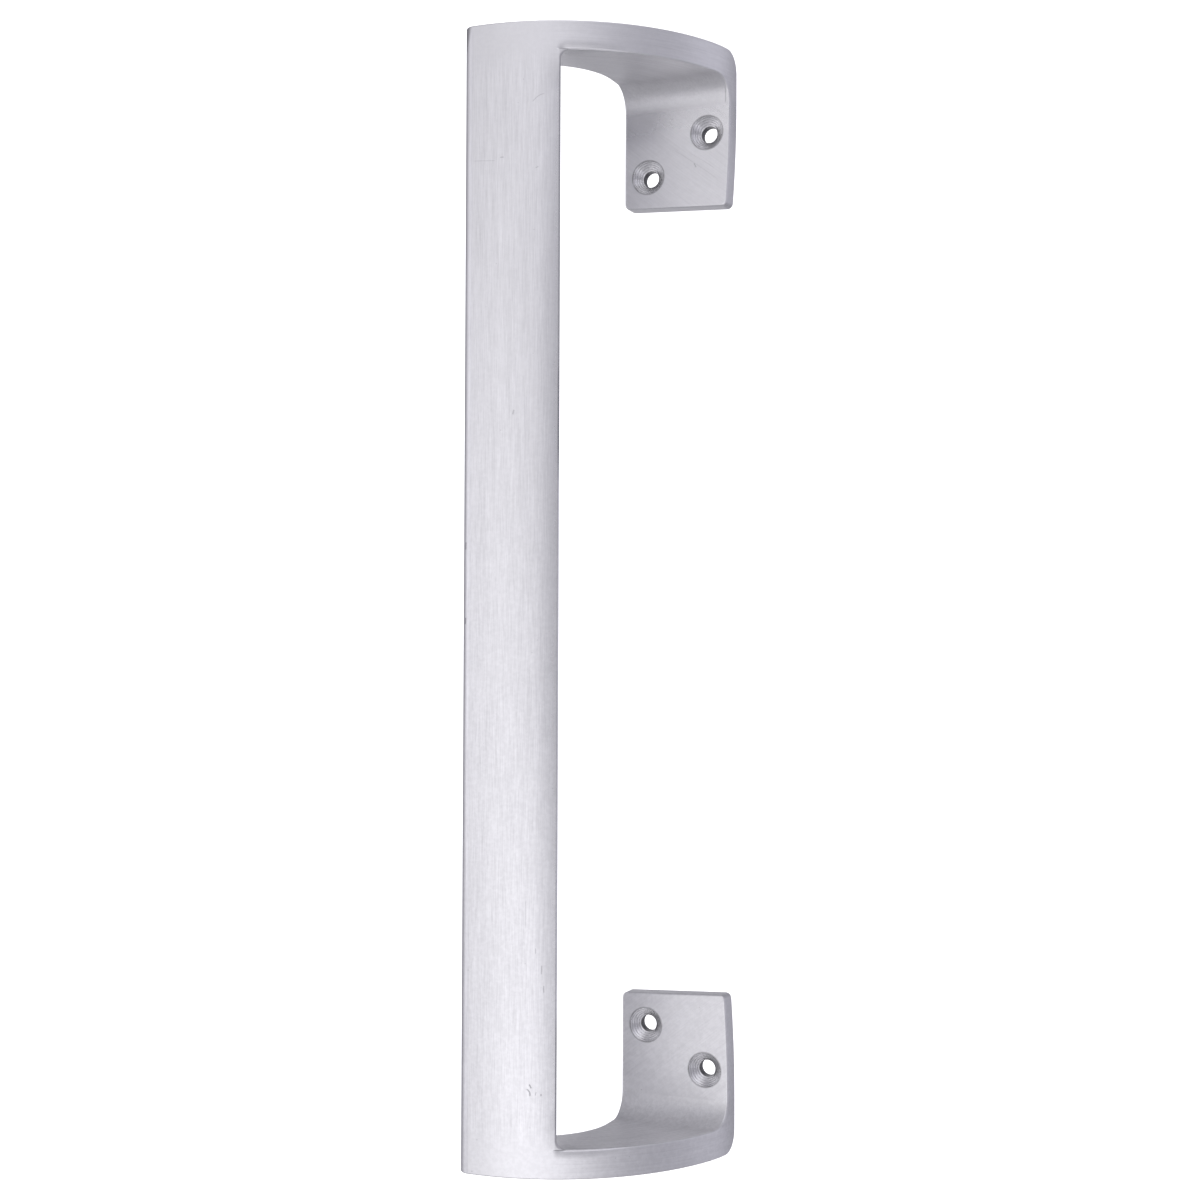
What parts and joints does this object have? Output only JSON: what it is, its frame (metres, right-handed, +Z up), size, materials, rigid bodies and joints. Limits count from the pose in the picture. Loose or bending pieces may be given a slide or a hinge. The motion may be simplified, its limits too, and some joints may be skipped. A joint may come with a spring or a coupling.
{
  "type": "door pull handle",
  "caption": "Cast aluminium door pull with a crowned upright grip set to one side of slim screw feet, joined by flat swept arms, for pulling a heavy door open by hand.",
  "frame": {"origin": "on the door face, midway between the upper and lower feet and between the two columns of screw holes", "axes": "+Z up along the grip, +Y into the door, X across the door with the grip towards -X"},
  "size_m": [0.0605, 0.05, 0.305],
  "materials": {
    "satin_aluminium": "satin, linished along the grip"
  },
  "bodies": {
    "root": {"pull_handle": "satin_aluminium"}
  },
  "joints": []
}
